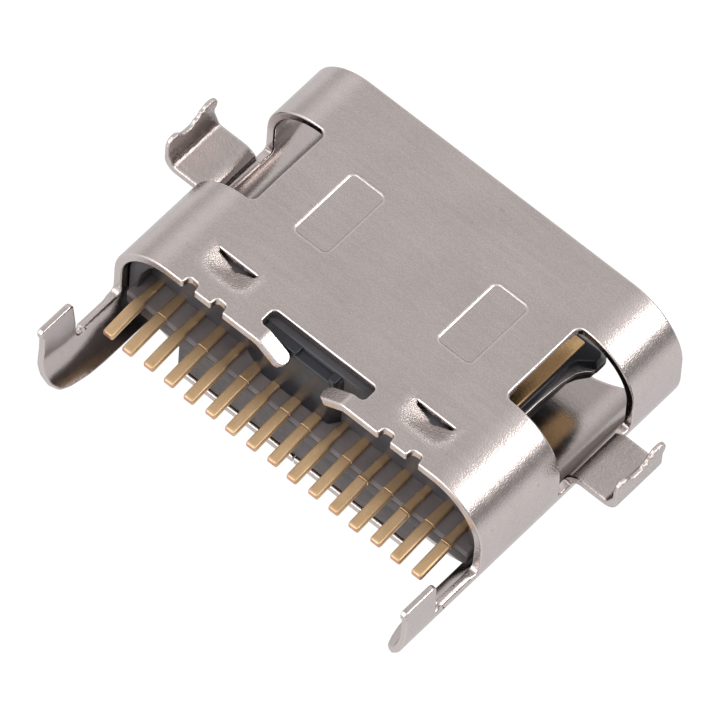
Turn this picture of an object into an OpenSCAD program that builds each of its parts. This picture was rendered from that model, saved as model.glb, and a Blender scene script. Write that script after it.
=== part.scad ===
// USB-C receptacle, 16 contacts, sunk (mid-mount) type with four board legs.
// Drawn with its board side up: X across, +Y out of the mouth, +Z towards the board.

/* [Shell] */
// Outer width of the shell
shell_w = 8.94; // [8.90:0.01:8.98]
// Outer height of the shell
shell_h = 3.12; // [3.10:0.01:3.16]
// Outer corner radius of the shell's section
shell_r = 1.30; // [1.26:0.01:1.34]
// Thickness of the folded sheet
sheet_t = 0.20; // [0.19:0.01:0.21]
// Distance from the mouth's centre plane to the front edge, and to the rear edge
half_d = 2.79; // [2.76:0.01:2.82]

/* [Side windows and side tabs] */
// Rear edge of each side window
win_y0 = -0.61; // [-0.65:0.01:-0.58]
// Front edge of each side window
win_y1 = 1.41; // [1.38:0.01:1.45]
// Distance of a window's upper edge from the middle plane
win_x = 3.06; // [3.02:0.01:3.10]
// Lowest level of a window beside the tab
win_z = 1.45; // [1.42:0.01:1.50]
// Rear edge of each side tab
tab_y0 = -0.25; // [-0.27:0.01:-0.23]
// Front edge of each side tab
tab_y1 = 1.05; // [1.03:0.01:1.07]
// Upper face of the tab's flat plate, where the board rests
tab_z = 1.50; // [1.48:0.01:1.52]
// Distance of the tab tip's outer face from the middle plane
tab_x = 5.50; // [5.48:0.01:5.52]
// Radius of the upper face where the tab bends out of the side wall
tab_bend = 0.43; // [0.42:0.01:0.44]
// Inner radius of the bend up into the tip
tip_bend = 0.10; // [0.09:0.01:0.12]

/* [Rear legs] */
// Rear end of the legs
leg_y = -4.90; // [-4.95:0.01:-4.85]
// Front edge of the upright lug
lug_y = -3.99; // [-4.02:0.01:-3.95]
// Top of the upright lug
lug_z = 2.17; // [2.10:0.01:2.25]
// Top of the arm that carries the lug
arm_z = 1.17; // [1.14:0.01:1.20]
// Angle below the horizontal at which the arm's lower edge is cut
arm_a = 55; // [52:1:58]

/* [Rear slot, hooks and pressed marks] */
// Front edge of the rear slot
slot_y = -2.07; // [-2.09:0.01:-2.05]
// Distance of the slot's ends from the middle plane
slot_x = 1.22; // [1.20:0.01:1.24]
// Distance from the middle plane where the hooks start to bend down
hook_x = 1.05; // [1.03:0.01:1.07]
// Outer radius of the hooks' bend
hook_r = 0.24; // [0.23:0.01:0.26]
// Slope of the hooks past their bend
hook_a = 32; // [30:1:34]
// Length of the hooks past their bend
hook_l = 0.60; // [0.58:0.01:0.62]
// Depth of the two pressed rectangles
emboss_d = 0.04; // [0.03:0.01:0.06]
// Drop of the two lanced catches
catch_d = 0.30; // [0.26:0.01:0.32]

/* [Housing] */
// Clearance between the housing and the shell
gap = 0.03; // [0.02:0.01:0.04]
// Front face of the housing's base
base_y1 = -1.15; // [-1.18:0.01:-1.10]
// Rear face of the housing above the tails
base_y0 = -2.22; // [-2.24:0.01:-2.20]
// Rear face of the ledge under the tails
ledge_y = -2.79; // [-2.80:0.01:-2.77]
// Upper face of the ledge
ledge_z = 1.42; // [1.40:0.01:1.44]
// Under face of the ledge
ledge_z0 = 0.95; // [0.92:0.01:0.98]

/* [Tongue] */
// Thickness of the tongue
tongue_t = 0.70; // [0.69:0.01:0.71]
// Half width of the tongue at its nose
tongue_x = 3.345; // [3.34:0.005:3.35]
// Half width of the tongue behind its nose
tongue_x1 = 3.00; // [2.99:0.01:3.02]
// Front end of the tongue
tongue_y = 2.10; // [2.08:0.01:2.12]
// Thickness of the steel mid plate
mid_t = 0.10; // [0.09:0.01:0.11]

/* [Contacts] */
// Pitch of the tails, and of the contact rows
pitch = 0.5; // [0.5:0.5:0.5]
// Thickness of the contact strip
strip_t = 0.15; // [0.14:0.01:0.15]
// Width of a tail outside the housing
tail_w = 0.24; // [0.22:0.01:0.26]
// Rear end of the tails
tail_y = -3.73; // [-3.76:0.01:-3.70]
// Upper face of the tails where they leave the housing
tail_z = 1.49; // [1.48:0.01:1.50]
// Upper face of the tails outside the shell, where they are soldered
foot_z = 1.42; // [1.40:0.01:1.44]
// Width of a signal contact on the tongue
sig_w = 0.25; // [0.24:0.01:0.26]
// Width of an outer contact on the tongue
gnd_w = 0.38; // [0.36:0.01:0.40]

/* [Hidden] */
e = 0.1;                                  // overshoot of cutters
half_w = shell_w / 2;
cx = half_w - shell_r;                    // centre of the round sides
mid_z = shell_h / 2;
y_shift = -(half_d + leg_y) / 2;          // puts the middle of the whole length at Y = 0
ton_z0 = mid_z - tongue_t / 2;
ton_z1 = mid_z + tongue_t / 2;
steel = [0.70, 0.67, 0.66];
black = [0.16, 0.16, 0.17];
gold = [0.80, 0.62, 0.36];
// name, row (1 upper, -1 lower), place on the tongue, place of the tail, both in pitches from the middle
CONTACTS = [
  ["contact_a1", 1, -5.5, -7.5], ["contact_b12", -1, -5.5, -6.5], ["contact_a4", 1, -2.5, -5.5], ["contact_b9", -1, -2.5, -4.5],
  ["contact_b8", -1, -1.5, -3.5], ["contact_a5", 1, -1.5, -2.5], ["contact_b7", -1, -0.5, -1.5], ["contact_a6", 1, -0.5, -0.5],
  ["contact_a7", 1, 0.5, 0.5], ["contact_b6", -1, 0.5, 1.5], ["contact_a8", 1, 1.5, 2.5], ["contact_b5", -1, 1.5, 3.5],
  ["contact_b4", -1, 2.5, 4.5], ["contact_a9", 1, 2.5, 5.5], ["contact_b1", -1, 5.5, 6.5], ["contact_a12", 1, 5.5, 7.5]];

module place() translate([0, y_shift, 0]) children();
// a profile drawn in X and Z, between two depths
module along_y(y0, y1) translate([0, y1, 0]) rotate([90, 0, 0]) linear_extrude(y1 - y0) children();
// a profile drawn in Y and Z, between two widths
module along_x(x0, x1) translate([x0, 0, 0]) rotate([90, 0, 90]) linear_extrude(x1 - x0) children();
module box(x0, y0, z0, x1, y1, z1) translate([x0, y0, z0]) cube([x1 - x0, y1 - y0, z1 - z0]);
module both() { children(); mirror([1, 0, 0]) children(); }
// rectangle with its own radius at each corner: bottom left, bottom right, top right, top left
module rsq(x0, y0, x1, y1, a, b, c, d) {
  polygon([[x0 + a, y0], [x1 - b, y0], [x1, y0 + b], [x1, y1 - c], [x1 - c, y1], [x0 + d, y1], [x0, y1 - d], [x0, y0 + a]]);
  if (a > 0) translate([x0 + a, y0 + a]) circle(a, $fn = 48);
  if (b > 0) translate([x1 - b, y0 + b]) circle(b, $fn = 48);
  if (c > 0) translate([x1 - c, y1 - c]) circle(c, $fn = 48);
  if (d > 0) translate([x0 + d, y1 - d]) circle(d, $fn = 48);
}
// the shell's round-sided section, shrunk by s
module section(s) rsq(-half_w + s, s, half_w - s, shell_h - s, shell_r - s, shell_r - s, shell_r - s, shell_r - s);
module ring() difference() { section(0); section(sheet_t); }
// a quarter of a bent strip round a centre; qx and qz give the quadrant
module quarter(x, z, r, qx, qz) translate([x, z]) intersection() {
  difference() { circle(r, $fn = 64); circle(r - sheet_t, $fn = 64); }
  translate([qx < 0 ? -2 * r : 0, qz < 0 ? -2 * r : 0]) square(2 * r);
}
module stroke(p, q, w) translate(p) rotate(atan2(q[1] - p[1], q[0] - p[0])) translate([-w / 2, -w / 2])
  square([norm(q - p) + w, w]);

// side tab: out of the side wall, flat under the board, and up into an eared tip
module tab() difference() {
  along_y(tab_y0, tab_y1) {
    translate([half_w - sheet_t, tab_z - tab_bend - 0.08]) square([sheet_t, 0.08]);
    quarter(half_w - sheet_t + tab_bend, tab_z - tab_bend, tab_bend, -1, 1);
    translate([half_w - sheet_t + tab_bend, tab_z - sheet_t])
      square([tab_x - sheet_t - tip_bend - half_w + sheet_t - tab_bend, sheet_t]);
    quarter(tab_x - sheet_t - tip_bend, tab_z + tip_bend, tip_bend + sheet_t, 1, -1);
    translate([tab_x - sheet_t, tab_z + tip_bend]) square([sheet_t, 0.61]);
  }
  along_x(tab_x - sheet_t - e, tab_x + e) polygon([[-1, 3], [-1, 1.75], [tab_y0, 1.75], [tab_y0 + 0.02, 1.98], [tab_y0 + 0.09, 2.10],
    [-0.03, 2.13], [0.08, 2.10], [0.17, 2.02], [0.26, 1.95], [0.42, 1.94], [0.47, 2.01], [0.58, 2.05], [0.64, 2.13], [0.78, 2.18],
    [0.90, 2.17], [0.99, 2.09], [tab_y1 - 0.01, 1.96], [tab_y1, 1.75], [2, 1.75], [2, 3]]);
}

// rear leg: the lower side wall runs on backwards and ends in an upright lug
module leg() intersection() {
  along_y(leg_y, -half_d + 0.05) {
    intersection() {
      ring();
      polygon([[cx + 0.3 * cos(arm_a), shell_r - 0.3 * sin(arm_a)], [cx + 2 * cos(arm_a), shell_r - 2 * sin(arm_a)],
        [half_w + 1, -0.5], [half_w + 1, shell_r], [cx + 0.3, shell_r]]);
    }
    translate([half_w - sheet_t, shell_r]) square([sheet_t, lug_z - shell_r]);
  }
  along_x(cx, half_w + e) {
    rsq(leg_y, 0, lug_y, lug_z, 0.5, 0, 0.13, 0.12);
    translate([lug_y - e, 0]) square([-half_d + 0.2 - lug_y, arm_z]);
  }
}

// point of the hook's bend at an angle, on a radius
function bend_at(a, r) = [hook_x - r * sin(a), shell_h - hook_r + r * cos(a)];
// hook at the rear slot, bent down and inward
module hook() along_y(-half_d, -half_d + 0.34) polygon(concat(
  [[hook_x + 0.05, shell_h - sheet_t], [hook_x + 0.05, shell_h]],
  [for (k = [0:8]) bend_at(hook_a * k / 8, hook_r)],
  [bend_at(hook_a, hook_r) + hook_l * [-cos(hook_a), -sin(hook_a)], bend_at(hook_a, hook_r - sheet_t) + hook_l * [-cos(hook_a), -sin(hook_a)]],
  [for (k = [8:-1:0]) bend_at(hook_a * k / 8, hook_r - sheet_t)]));

// lanced catch: the sheet behind a cut is pressed down, and bears on the housing
module catch() along_x(1.93, 2.85) polygon([[-2.26, shell_h - sheet_t], [-2.26, shell_h], [-2.22, shell_h],
  [-1.77, shell_h - catch_d], [-1.77, shell_h - catch_d - sheet_t], [-2.14, shell_h - sheet_t]]);

// one folded sheet of steel: tube, windows, tabs, legs, hooks, catches and pressed marks
module shell() color(steel) place() {
  difference() {
    union() {
      along_y(-half_d, half_d) ring();
      // inner side of the pressed rectangles
      both() box(1.32, -0.56, shell_h - sheet_t - emboss_d, 2.15, 1.12, shell_h - sheet_t + 0.01);
    }
    both() {
      // window, wide above and down to the tab's root below
      translate([0, 0, win_z]) linear_extrude(3) rsq(win_x, win_y0, half_w + 1, win_y1, 0.14, 0, 0, 0.14);
      box(cx, tab_y0, tab_z - tab_bend, half_w + 1, tab_y1, win_z + e);
      box(cx, tab_y0 - 0.1, tab_z - tab_bend - 0.07, half_w + 1, tab_y0, win_z + e);
      box(cx, tab_y1, tab_z - tab_bend - 0.07, half_w + 1, tab_y1 + 0.1, win_z + e);
      // outer side of the pressed rectangles
      translate([0, 0, shell_h - emboss_d]) linear_extrude(1) rsq(1.30, -0.58, 2.17, 1.14, 0.06, 0.06, 0.06, 0.06);
      // hole for the catch
      box(1.93, -2.22, shell_h - 0.6, 2.85, -1.76, shell_h + e);
      // small notches in the upper rear edge
      box(2.58, -half_d - e, shell_h - 0.6, 2.84, -half_d + 0.17, shell_h + e);
      box(1.90, -half_d - e, shell_h - 0.6, 2.15, -half_d + 0.17, shell_h + e);
      // lower rear corners, cut away beside the legs
      along_y(-half_d - e, -2.38) polygon([[2.75, -0.2], [2.75, 0.55], [cx + 0.75 / tan(arm_a), 0.55], [cx + 1.5 / tan(arm_a), -0.2]]);
    }
    // rear slot, open to the rear between the hooks
    translate([0, 0, shell_h - 0.6]) linear_extrude(1) {
      rsq(-slot_x, -half_d + 0.34, slot_x, slot_y, 0.17, 0.17, 0.10, 0.10);
      translate([-hook_x, -half_d - e]) square([2 * hook_x, 0.6]);
    }
    // lower front edge, set back between the round sides
    translate([0, 0, -e]) linear_extrude(0.9) polygon([[-3.05, 2.25], [3.05, 2.25], [4.15, 2.90], [-4.15, 2.90]]);
    // seam of the folded sheet, with its interlocking key
    translate([0, 0, -e]) linear_extrude(sheet_t + 2 * e) {
      stroke([0, -3], [0, -1.0], 0.03);
      stroke([0, -1.0], [0.42, -1.18], 0.03);
      stroke([0.42, -1.18], [0.42, 0.38], 0.03);
      stroke([0.42, 0.38], [0, 0.2], 0.03);
      stroke([0, 0.2], [0, 3], 0.03);
    }
  }
  both() { tab(); leg(); hook(); catch(); }
}

// outline of one contact in plan where it runs from the tongue to its tail
module run(xc, xt, w) polygon([[xc - w / 2, 1.86], [xc - w / 2, -1.22], [xt - 0.09, -1.94], [xt - 0.09, -2.13],
  [xt + 0.09, -2.13], [xt + 0.09, -1.94], [xc + w / 2, -1.22], [xc + w / 2, 1.86]]);

// contact: strip on the tongue, run through the base, riser, and tail
module contact(c) {
  row = c[1];
  xc = c[2] * pitch;
  xt = c[3] * pitch;
  w = abs(c[2]) > 5 ? gnd_w : sig_w;
  z0 = row > 0 ? ton_z1 - strip_t : ton_z0;
  place() union() {
    translate([0, 0, z0]) linear_extrude(strip_t) run(xc, xt, w);
    box(xt - 0.09, -2.13, min(z0, tail_z - strip_t), xt + 0.09, -2.13 + strip_t, max(z0 + strip_t, tail_z));
    box(xt - 0.09, -half_d - 0.01, tail_z - strip_t, xt + 0.09, -2.13 + strip_t, tail_z);
    box(xt - tail_w / 2, tail_y, foot_z - strip_t, xt + tail_w / 2, -half_d, foot_z);
  }
}
module contacts() for (c = CONTACTS) contact(c);
module named(name) color(gold) for (c = CONTACTS) if (c[0] == name) contact(c);

// outline of the tongue in plan
module tongue_plan(s) {
  rsq(-tongue_x + s, 1.68, tongue_x - s, tongue_y - s, 0, 0, 0.35, 0.35);
  polygon([[-tongue_x1, 1.30], [tongue_x1, 1.30], [tongue_x1 + 0.08, 1.46], [tongue_x, 1.68], [-tongue_x, 1.68], [-tongue_x1 - 0.08, 1.46]]);
  translate([-tongue_x1 + s, -1.9]) square([2 * (tongue_x1 - s), 3.21]);
}
module tongue_half(z0, z1, front) difference() {
  union() {
    translate([0, 0, z0]) linear_extrude(z1 - z0) tongue_plan(0);
  }
  // bevelled nose
  along_x(-4, 4) polygon(front);
  // bevelled sides of the nose's lower half
  both() along_y(1.2, 2.2) polygon([[tongue_x - 0.03, mid_z - 0.06], [tongue_x - 0.13, ton_z0 - 0.01], [4, ton_z0 - 0.01], [4, mid_z - 0.06]]);
}

// upper moulding of the tongue, with the pockets of the upper contacts
module insert_upper() color(black) place() difference() {
  tongue_half(mid_z, ton_z1, [[tongue_y + e, mid_z + 0.05], [tongue_y, mid_z + 0.12], [tongue_y - 0.22, ton_z1], [tongue_y - 0.22, ton_z1 + 1], [tongue_y + e, ton_z1 + 1]]);
  translate([0, -y_shift, 0]) { mid_solid(); contacts(); }
}
// lower moulding of the tongue, with the pockets of the lower contacts
module insert_lower() color(black) place() difference() {
  tongue_half(ton_z0, mid_z, [[tongue_y + e, mid_z - 0.05], [tongue_y, mid_z - 0.12], [tongue_y - 0.35, ton_z0], [tongue_y - 0.35, ton_z0 - 1], [tongue_y + e, ton_z0 - 1]]);
  translate([0, -y_shift, 0]) { mid_solid(); contacts(); }
}
// steel plate in the middle of the tongue, with a latch notch on each side
module mid_solid() place() translate([0, 0, mid_z - mid_t / 2]) linear_extrude(mid_t) difference() {
  translate([-3.26, -1.85]) square([6.52, 3.75]);
  both() polygon([[3.06, -1.95], [3.03, 0.36], [3.06, 1.00], [3.12, 1.36], [3.22, 1.52], [3.6, 1.60], [3.6, -1.95]]);
  for (x = [-1.5, 0, 1.5]) translate([x, -0.2]) circle(0.3, $fn = 32);
}
module mid_plate() color(steel) mid_solid();

// black housing moulded round the root of the tongue and the tails
module housing() color(black) place() difference() {
  union() {
    along_y(base_y0, base_y1) section(sheet_t + gap);
    box(-4.12, ledge_y, ledge_z0, 4.12, base_y0 + e, ledge_z);
    box(-2.87, ledge_y + 0.03, sheet_t + gap, 2.87, base_y0 + e, ledge_z0 + e);
    // block behind the rear slot
    translate([0, 0, ledge_z - e]) linear_extrude(2.88 - ledge_z + e)
      polygon([[-1.66, base_y0 + e], [-1.66, base_y0], [-1.15, -2.44], [0.45, -2.44], [0.59, base_y0], [0.59, base_y0 + e]]);
  }
  // pocket in the top of the block
  box(-0.40, -2.60, 2.80, 0.36, -2.16, 3);
  // pockets for the catches
  both() box(1.85, -2.40, 2.50, 2.93, -1.70, 3);
  // seat of the tongue mouldings
  translate([0, 0, ton_z0]) linear_extrude(tongue_t) translate([-tongue_x1, -1.9]) square([2 * tongue_x1, 3.1]);
  translate([0, -y_shift, 0]) { mid_solid(); contacts(); }
}

shell();
housing();
insert_upper();
insert_lower();
mid_plate();
named("contact_a1");  // contact_a1
named("contact_a4");  // contact_a4
named("contact_a5");  // contact_a5
named("contact_a6");  // contact_a6
named("contact_a7");  // contact_a7
named("contact_a8");  // contact_a8
named("contact_a9");  // contact_a9
named("contact_a12");  // contact_a12
named("contact_b1");  // contact_b1
named("contact_b4");  // contact_b4
named("contact_b5");  // contact_b5
named("contact_b6");  // contact_b6
named("contact_b7");  // contact_b7
named("contact_b8");  // contact_b8
named("contact_b9");  // contact_b9
named("contact_b12");  // contact_b12
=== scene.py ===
"""USB-C receptacle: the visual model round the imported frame. Sizes are in millimetres until a mesh is made."""
import math

import bpy
import numpy as np
from mathutils import Matrix, Vector
from mathutils.geometry import delaunay_2d_cdt


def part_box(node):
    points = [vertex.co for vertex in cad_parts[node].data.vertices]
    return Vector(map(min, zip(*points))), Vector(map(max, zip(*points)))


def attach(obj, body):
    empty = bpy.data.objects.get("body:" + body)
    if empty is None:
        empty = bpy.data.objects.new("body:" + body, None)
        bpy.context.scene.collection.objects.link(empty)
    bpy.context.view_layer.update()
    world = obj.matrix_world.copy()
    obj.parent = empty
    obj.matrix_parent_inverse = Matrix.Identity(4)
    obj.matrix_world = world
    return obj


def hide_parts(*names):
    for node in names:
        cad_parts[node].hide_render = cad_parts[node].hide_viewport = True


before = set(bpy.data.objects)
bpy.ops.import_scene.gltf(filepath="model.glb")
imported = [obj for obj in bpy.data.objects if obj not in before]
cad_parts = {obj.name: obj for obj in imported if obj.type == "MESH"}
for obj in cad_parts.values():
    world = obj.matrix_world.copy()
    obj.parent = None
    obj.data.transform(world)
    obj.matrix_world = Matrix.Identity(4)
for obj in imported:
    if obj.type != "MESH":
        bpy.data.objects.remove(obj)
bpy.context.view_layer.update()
MM = 0.001
SHELL_LO, SHELL_HI = (Vector(c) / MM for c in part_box("shell"))
HD = 2.79                               # half the depth of the shell's tube
YS = SHELL_HI.y - HD                    # the tube's middle in the row frame
W, H, R, T = 8.94, SHELL_HI.z, 1.30, 0.20
CX = W / 2 - R
SIDE = H - 2 * R
L0 = CX                                 # lengths along the outer face, from the middle of the upper side
L1 = L0 + R * math.pi / 2
L2 = L1 + SIDE
L3 = L2 + R * math.pi / 2
L4 = L3 + CX


# ---------------------------------------------------------------- mesh tools
def fillet(pts, seg=7, fixed=False):
    """Rounds the corners of a closed loop of (u, v, radius), each with the same number of points if fixed."""
    out = []
    n = len(pts)
    for i in range(n):
        p0, p, p1 = (np.array(pts[j % n][:2], float) for j in (i - 1, i, i + 1))
        r = pts[i][2] if len(pts[i]) > 2 else 0
        a, b = p0 - p, p1 - p
        la, lb = np.linalg.norm(a), np.linalg.norm(b)
        a, b = a / la, b / lb
        ang = math.acos(max(-1, min(1, float(a @ b))))
        if r <= 0 or ang > math.pi - 0.02:
            out.append(p)
            continue
        t = min(r / math.tan(ang / 2), 0.49 * la, 0.49 * lb)
        r = t * math.tan(ang / 2)
        bis = (a + b) / np.linalg.norm(a + b)
        c = p + bis * r / math.sin(ang / 2)
        q0, q1 = p + a * t - c, p + b * t - c
        s0 = math.atan2(q0[1], q0[0])
        d = math.atan2(q0[0] * q1[1] - q0[1] * q1[0], float(q0 @ q1))
        k = seg if fixed else max(2, int(math.ceil(abs(d) / (math.pi / 2) * seg)))
        for j in range(k + 1):
            w = s0 + d * j / k
            out.append(c + r * np.array([math.cos(w), math.sin(w)]))
    return np.array(out)


def resample(loop, step):
    out = []
    n = len(loop)
    for i in range(n):
        p, q = loop[i], loop[(i + 1) % n]
        k = max(1, int(math.ceil(np.linalg.norm(q - p) / step)))
        for j in range(k):
            out.append(p + (q - p) * j / k)
    return np.array(out)


def clean(loop, eps=1e-4):
    keep = [loop[0]]
    for p in loop[1:]:
        if np.linalg.norm(p - keep[-1]) > eps:
            keep.append(p)
    if np.linalg.norm(keep[0] - keep[-1]) <= eps:
        keep.pop()
    return np.array(keep)


def inward(loop):
    """Unit direction into the material at each corner of a loop that has it on its left, and the mitre's length."""
    d = np.roll(loop, -1, 0) - loop
    d /= np.linalg.norm(d, axis=1)[:, None]
    nrm = np.stack([-d[:, 1], d[:, 0]], 1)
    m = nrm + np.roll(nrm, 1, 0)
    ln = np.linalg.norm(m, axis=1)
    m = m / ln[:, None]
    return m, np.minimum(2 / ln, 1.4)


def inside(pts, loops):
    """Even-odd test of many points against all the loops together."""
    res = np.zeros(len(pts), bool)
    for loop in loops:
        a, b = loop, np.roll(loop, -1, 0)
        for i0 in range(0, len(pts), 4000):
            p = pts[i0:i0 + 4000]
            y = p[:, 1][:, None]
            c = (a[None, :, 1] > y) != (b[None, :, 1] > y)
            dy = b[:, 1] - a[:, 1]
            dy = np.where(np.abs(dy) < 1e-12, 1e-12, dy)
            x = a[None, :, 0] + (y - a[None, :, 1]) * ((b[:, 0] - a[:, 0]) / dy)[None, :]
            res[i0:i0 + 4000] ^= ((c & (p[:, 0][:, None] < x)).sum(1) % 2).astype(bool)
    return res


def near(pts, others, dist):
    res = np.zeros(len(pts), bool)
    for i0 in range(0, len(pts), 2000):
        p = pts[i0:i0 + 2000]
        d2 = ((p[:, None, :] - others[None, :, :]) ** 2).sum(2)
        res[i0:i0 + 2000] = d2.min(1) < dist * dist
    return res


def sheet(loops, grid, lift, half, r, extra=(), margin=0.03, cut=3, r2=None, thick=None, roll=None):
    """A closed skin over a flat domain.
    loops: closed loops with the material on their left. grid: inner points. lift(q) gives for domain points the place of
    the sheet's middle, its unit normal, and its two unit tangents. half: half its thickness. r: rounding of its edges, and
    r2 the height of the rounding on the lower side."""
    r2 = r if r2 is None else r2
    loops = [clean(l) for l in loops]
    dirs = [inward(l) for l in loops]
    rads = [roll(l) if roll else np.full(len(l), r) for l in loops]
    offs = [l + m * (rl * k)[:, None] for l, rl, (m, k) in zip(loops, rads, dirs)]
    pts, edges, base = [], [], []
    for o in offs:
        base.append(len(pts))
        n = len(o)
        pts += list(o)
        edges += [(base[-1] + i, base[-1] + (i + 1) % n) for i in range(n)]
    rim = np.array(pts)
    for line in extra:
        line = np.asarray(line)
        ok = inside(line, offs) & ~near(line, rim, 0.02)
        start = len(pts)
        idx = -np.ones(len(line), int)
        for i, good in enumerate(ok):
            if good:
                idx[i] = len(pts)
                pts.append(line[i])
        edges += [(int(idx[i]), int(idx[i + 1])) for i in range(len(line) - 1) if idx[i] >= 0 and idx[i + 1] >= 0]
    fixed = np.array(pts)
    grid = np.asarray(grid)
    grid = grid[inside(grid, offs)]
    grid = grid[~near(grid, fixed, margin)]
    pts += list(grid)
    vs, _, fs, ov, _, _ = delaunay_2d_cdt([Vector((float(p[0]), float(p[1]))) for p in pts], edges, [], 0, 1e-6)
    q = np.array([[v.x, v.y] for v in vs])
    where = {}
    for j, o in enumerate(ov):
        for i in o:
            where[i] = j
    tri = np.array([f for f in fs if len(f) == 3])
    tri = tri[inside(q[tri].mean(1), offs)]
    a, b, c = q[tri[:, 0]], q[tri[:, 1]], q[tri[:, 2]]
    area = (b[:, 0] - a[:, 0]) * (c[:, 1] - a[:, 1]) - (b[:, 1] - a[:, 1]) * (c[:, 0] - a[:, 0])
    tri = np.where((area < 0)[:, None], tri[:, ::-1], tri)
    longest = np.max([((a - b) ** 2).sum(1), ((b - c) ** 2).sum(1), ((a - c) ** 2).sum(1)], axis=0)
    tri = tri[np.abs(area) > 1e-4 * longest]
    used = np.unique(tri)
    remap = -np.ones(len(q), int)
    remap[used] = np.arange(len(used))
    q = q[used]
    tri = remap[tri]
    nq = len(q)
    mid, nn, ts, ty = lift(q)
    hq = thick(q)[:, None] if thick else half
    mid = mid + nn * (half - hq)
    verts = [mid + nn * hq, mid - nn * hq]
    norms = [nn, -nn]
    edge = [np.zeros(nq), np.zeros(nq)]
    faces = [tuple(t) for t in tri.tolist()] + [(int(t[0]) + nq, int(t[2]) + nq, int(t[1]) + nq) for t in tri]
    count = 2 * nq
    rows = [(math.pi / 2 * k / cut, 1) for k in range(1, cut + 1)] + [(math.pi / 2 * k / cut, -1) for k in range(cut, 0, -1)]
    for l, o, rl, (m, k), b0 in zip(loops, offs, rads, dirs, base):
        rl = rl[:, None]
        n = len(l)
        top = np.array([remap[where[b0 + i]] for i in range(n)])
        ids = [top]
        for phi, sg in rows:
            f = math.sin(phi)
            p2 = o + (l - o) * f
            mid, nn, ts, ty = lift(p2, ref=l)
            rz = rl if sg > 0 else np.minimum(rl, r2)
            hq = thick(l)[:, None] if thick else half
            mid = mid + nn * (half - hq)
            h = sg * (hq - rz + rz * math.cos(phi))
            out = -(m[:, :1] * ts + m[:, 1:] * ty)
            out /= np.linalg.norm(out, axis=1)[:, None]
            verts.append(mid + nn * h)
            nr = sg * math.cos(phi) / rz * nn + math.sin(phi) / rl * out
            norms.append(nr / np.linalg.norm(nr, axis=1)[:, None])
            # how far round the rim: drives the painted highlight along the edges
            edge.append(np.full(n, f ** 2))
            ids.append(np.arange(count, count + n))
            count += n
        ids.append(top + nq)
        for a, b in zip(ids[:-1], ids[1:]):
            for i in range(n):
                j = (i + 1) % n
                faces.append((int(a[i]), int(b[i]), int(b[j]), int(a[j])))
    fm = [0] * len(tri) + [1] * len(tri) + [0] * (len(faces) - 2 * len(tri))
    return np.concatenate(verts), faces, np.concatenate(norms), np.concatenate(edge), fm


def make(name, verts, faces, mats, norms=None, edge=None, node=None, face_mat=None, worked=None):
    v = np.asarray(verts, float).copy()
    v[:, 1] += YS
    me = bpy.data.meshes.new(name)
    me.from_pydata((v * MM).tolist(), [], faces)
    for m in mats:
        me.materials.append(m)
    me.polygons.foreach_set("use_smooth", [True] * len(me.polygons))
    if face_mat is not None:
        me.polygons.foreach_set("material_index", face_mat)
    if edge is not None:
        at = me.attributes.new("edge", "FLOAT", "POINT")
        at.data.foreach_set("value", np.asarray(edge, np.float32))
    if worked is not None:
        at = me.attributes.new("worked", "FLOAT", "POINT")
        at.data.foreach_set("value", np.asarray(worked, np.float32))
    me.update()
    if norms is not None:
        me.normals_split_custom_set_from_vertices(np.asarray(norms, float).tolist())
    ob = bpy.data.objects.new(name, me)
    bpy.context.scene.collection.objects.link(ob)
    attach(ob, "root")
    if node:
        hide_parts(node)
    return ob


# ---------------------------------------------------------------- materials
def node_mat(name):
    m = bpy.data.materials.new(name)
    m.use_nodes = True
    nt = m.node_tree
    return m, nt, nt.nodes["Principled BSDF"]


def link(nt, a, b):
    nt.links.new(a, b)


def noise_tex(nt, scale, detail=2.0, rough=0.5, stretch=(1, 1, 1), coord=None):
    tc = nt.nodes.new("ShaderNodeTexCoord")
    mp = nt.nodes.new("ShaderNodeMapping")
    mp.inputs["Scale"].default_value = stretch
    link(nt, tc.outputs["Object"], mp.inputs["Vector"])
    n = nt.nodes.new("ShaderNodeTexNoise")
    n.inputs["Scale"].default_value = scale
    n.inputs["Detail"].default_value = detail
    n.inputs["Roughness"].default_value = rough
    link(nt, mp.outputs["Vector"], n.inputs["Vector"])
    return n


def ramp(nt, src, stops):
    r = nt.nodes.new("ShaderNodeValToRGB")
    e = r.color_ramp.elements
    while len(e) < len(stops):
        e.new(0.5)
    for el, (p, c) in zip(e, stops):
        el.position = p
        el.color = (*c, 1) if len(c) == 3 else c
    link(nt, src, r.inputs["Fac"])
    return r


def maths(nt, op, a, b):
    n = nt.nodes.new("ShaderNodeMath")
    n.operation = op
    for s, v in zip(n.inputs, (a, b)):
        if isinstance(v, (int, float)):
            s.default_value = v
        else:
            link(nt, v, s)
    return n.outputs[0]


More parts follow.
